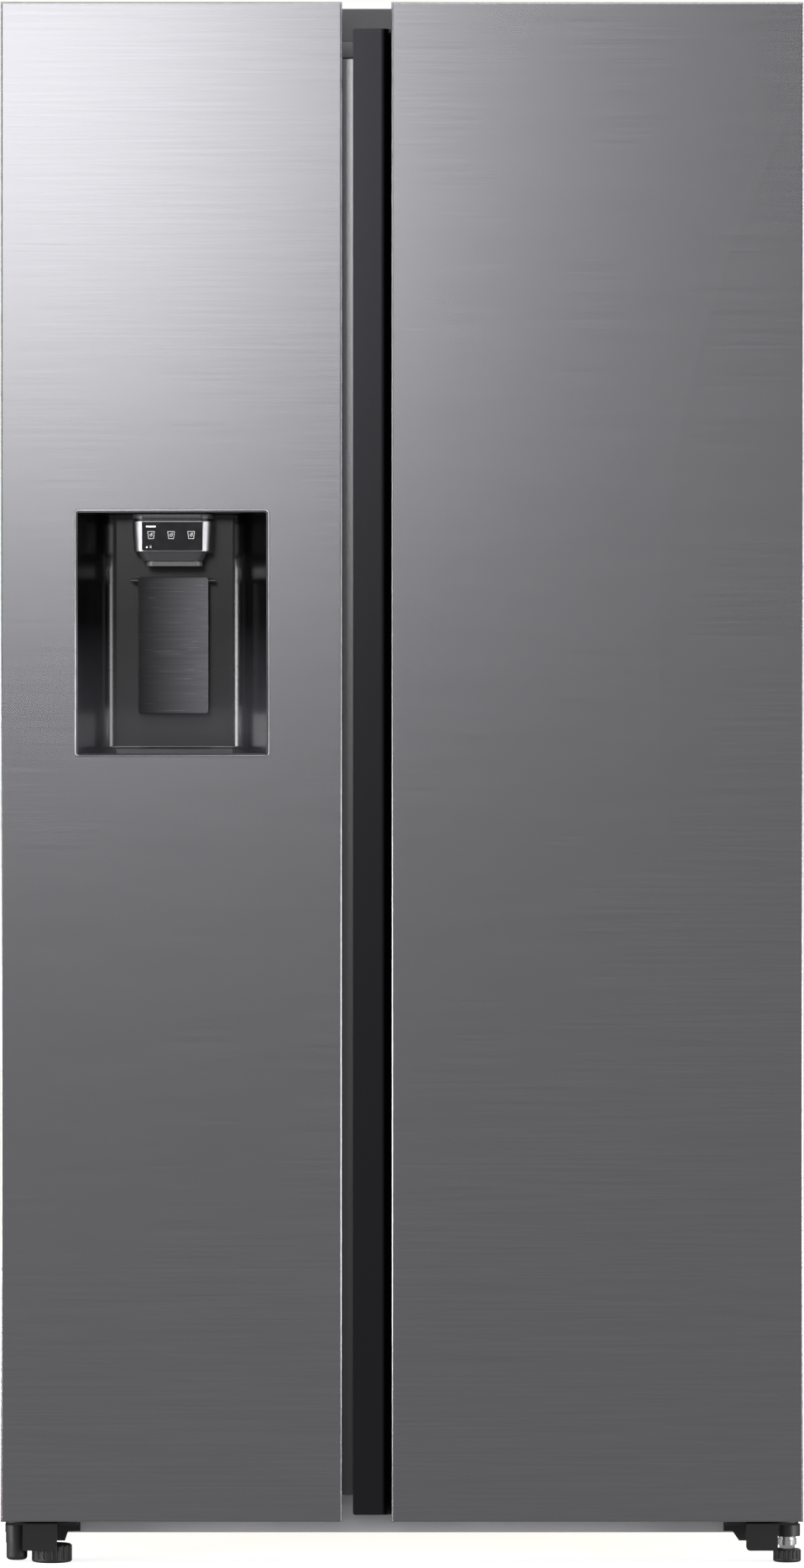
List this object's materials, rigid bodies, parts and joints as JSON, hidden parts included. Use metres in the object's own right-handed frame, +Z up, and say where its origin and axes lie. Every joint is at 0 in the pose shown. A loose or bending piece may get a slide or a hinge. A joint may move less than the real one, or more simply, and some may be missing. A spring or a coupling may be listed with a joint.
{
  "type": "side by side refrigerator",
  "caption": "Two-door refrigerator and freezer cabinet with recessed full-height grips, a water and ice dispenser in the left door, shelves, drawers and door bins.",
  "frame": {"origin": "on the floor, under the middle of the appliance's box", "axes": "+Z up, +X to the right seen from the front, doors facing -Y"},
  "size_m": [0.912, 0.716, 1.78],
  "materials": {
    "stainless": "brushed horizontally",
    "case_paint": "textured satin paint",
    "zinc_steel": "zinc-coated sheet",
    "foam": "rigid foam, as moulded",
    "liner_white": "smooth",
    "mullion_grey": "satin",
    "rail_grey": "satin",
    "cover_grey": "fine grain",
    "trim_dark": "satin",
    "cap_grey": "fine grain",
    "seal_grey": "soft",
    "hinge_black": "satin",
    "boot_black": "matt",
    "pin_steel": "ground",
    "screw_steel": "zinc",
    "nylon": "smooth",
    "foot_black": "moulded",
    "roller_grey": "moulded",
    "dispenser_black": "gloss",
    "head_silver": "silver lacquer",
    "paddle_steel": "dark brushed",
    "shelf_glass": "polished",
    "bin_clear": "clear moulding",
    "drawer_clear": "clear moulding",
    "panel_white": "fine grain",
    "fin_aluminium": "bare",
    "compressor_black": "gloss black",
    "tube_copper": "bare",
    "fan_grey": "moulded",
    "cover_zinc": "zinc-coated sheet"
  },
  "bodies": {
    "cabinet": {"cabinet_shell": "case_paint", "cabinet_insulation": "foam", "freezer_liner": "liner_white", "fridge_liner": "liner_white", "back_panel": "zinc_steel", "mullion_plate": "mullion_grey", "bottom_rail": "rail_grey", "base_frame": "zinc_steel", "top_cover": "cover_grey", "upper_hinge_brackets": "zinc_steel", "lower_hinge_left": "hinge_black", "lower_hinge_right": "hinge_black", "hinge_boot": "boot_black", "hinge_lock_nut": "screw_steel", "hinge_pins": "pin_steel", "hinge_screws": "screw_steel", "roller_axles": "pin_steel", "freezer_shelves": "shelf_glass", "fridge_shelves": "shelf_glass", "freezer_air_panel": "panel_white", "fridge_air_panel": "panel_white", "evaporator": "fin_aluminium", "compressor": "compressor_black", "condenser": "tube_copper", "fan_motors": "fan_grey", "machine_cover": "cover_zinc", "power_inlet": "trim_dark"},
    "freezer_door": {"freezer_front_panel": "stainless", "freezer_door_core": "foam", "freezer_grip_trim": "trim_dark", "freezer_door_caps": "cap_grey", "freezer_door_bushes": "nylon", "freezer_door_liner": "liner_white", "freezer_door_gasket": "seal_grey", "freezer_door_bins": "bin_clear", "ice_bucket": "bin_clear", "dispenser_recess": "dispenser_black", "dispenser_head": "head_silver", "dispenser_spout": "dispenser_black"},
    "dispenser_paddle": {"dispenser_paddle": "paddle_steel"},
    "fridge_door": {"fridge_front_panel": "stainless", "fridge_door_core": "foam", "fridge_grip_trim": "trim_dark", "fridge_door_caps": "cap_grey", "fridge_door_bushes": "nylon", "fridge_door_liner": "liner_white", "fridge_door_gasket": "seal_grey", "fridge_door_bins": "bin_clear"},
    "foot_left": {"foot_knob_left": "foot_black", "foot_stud_left": "screw_steel"},
    "foot_right": {"foot_knob_right": "foot_black", "foot_stud_right": "screw_steel"},
    "rear_roller_left": {"rear_roller_left": "roller_grey"},
    "rear_roller_right": {"rear_roller_right": "roller_grey"},
    "condenser_fan": {"condenser_fan": "fan_grey"},
    "freezer_fan": {"freezer_fan": "fan_grey"},
    "freezer_drawer_lower": {"freezer_drawer_lower": "drawer_clear"},
    "freezer_drawer_upper": {"freezer_drawer_upper": "drawer_clear"},
    "crisper_drawer_lower": {"crisper_drawer_lower": "drawer_clear"},
    "crisper_drawer_upper": {"crisper_drawer_upper": "drawer_clear"}
  },
  "joints": [
    {"name": "freezer_door_hinge", "type": "hinge", "parent": "cabinet", "child": "freezer_door", "pos_m": [-0.44, -0.308, 0.9], "axis": [0, 0, -1], "range_deg": [0, 125]},
    {"name": "fridge_door_hinge", "type": "hinge", "parent": "cabinet", "child": "fridge_door", "pos_m": [0.44, -0.308, 0.9], "axis": [0, 0, 1], "range_deg": [0, 125]},
    {"name": "dispenser_paddle_hinge", "type": "hinge", "parent": "freezer_door", "child": "dispenser_paddle", "pos_m": [-0.2612, -0.309, 1.1201], "axis": [1, 0, 0], "range_deg": [0, 8], "stiffness_Nm_per_rad": 0.8, "springref_deg": -8.59},
    {"name": "foot_left_turn", "type": "hinge", "parent": "cabinet", "child": "foot_left", "pos_m": [-0.4, -0.308, 0.01], "axis": [0, 0, 1], "continuous": true},
    {"name": "foot_right_turn", "type": "hinge", "parent": "cabinet", "child": "foot_right", "pos_m": [0.44, -0.308, 0.01], "axis": [0, 0, 1], "continuous": true},
    {"name": "rear_roller_left_spin", "type": "hinge", "parent": "cabinet", "child": "rear_roller_left", "pos_m": [-0.4, 0.298, 0.018], "axis": [1, 0, 0], "continuous": true},
    {"name": "rear_roller_right_spin", "type": "hinge", "parent": "cabinet", "child": "rear_roller_right", "pos_m": [0.4, 0.298, 0.018], "axis": [1, 0, 0], "continuous": true},
    {"name": "condenser_fan_spin", "type": "hinge", "parent": "cabinet", "child": "condenser_fan", "pos_m": [0.097, 0.274, 0.103], "axis": [1, 0, 0], "continuous": true},
    {"name": "freezer_fan_spin", "type": "hinge", "parent": "cabinet", "child": "freezer_fan", "pos_m": [-0.2475, 0.255, 0.93], "axis": [0, 1, 0], "continuous": true},
    {"name": "freezer_drawer_lower_slide", "type": "slide", "parent": "cabinet", "child": "freezer_drawer_lower", "axis": [0, -1, 0], "range_m": [0, 0.2182]},
    {"name": "freezer_drawer_upper_slide", "type": "slide", "parent": "cabinet", "child": "freezer_drawer_upper", "axis": [0, -1, 0], "range_m": [0, 0.2182]},
    {"name": "crisper_drawer_lower_slide", "type": "slide", "parent": "cabinet", "child": "crisper_drawer_lower", "axis": [0, -1, 0], "range_m": [0, 0.2182]},
    {"name": "crisper_drawer_upper_slide", "type": "slide", "parent": "cabinet", "child": "crisper_drawer_upper", "axis": [0, -1, 0], "range_m": [0, 0.2182]}
  ],
  "couplings": [
    {"joint": "freezer_drawer_lower_slide", "follows": "freezer_door_hinge", "m_per_rad": 0.1},
    {"joint": "freezer_drawer_upper_slide", "follows": "freezer_door_hinge", "m_per_rad": 0.1},
    {"joint": "crisper_drawer_lower_slide", "follows": "fridge_door_hinge", "m_per_rad": 0.1},
    {"joint": "crisper_drawer_upper_slide", "follows": "fridge_door_hinge", "m_per_rad": 0.1}
  ]
}
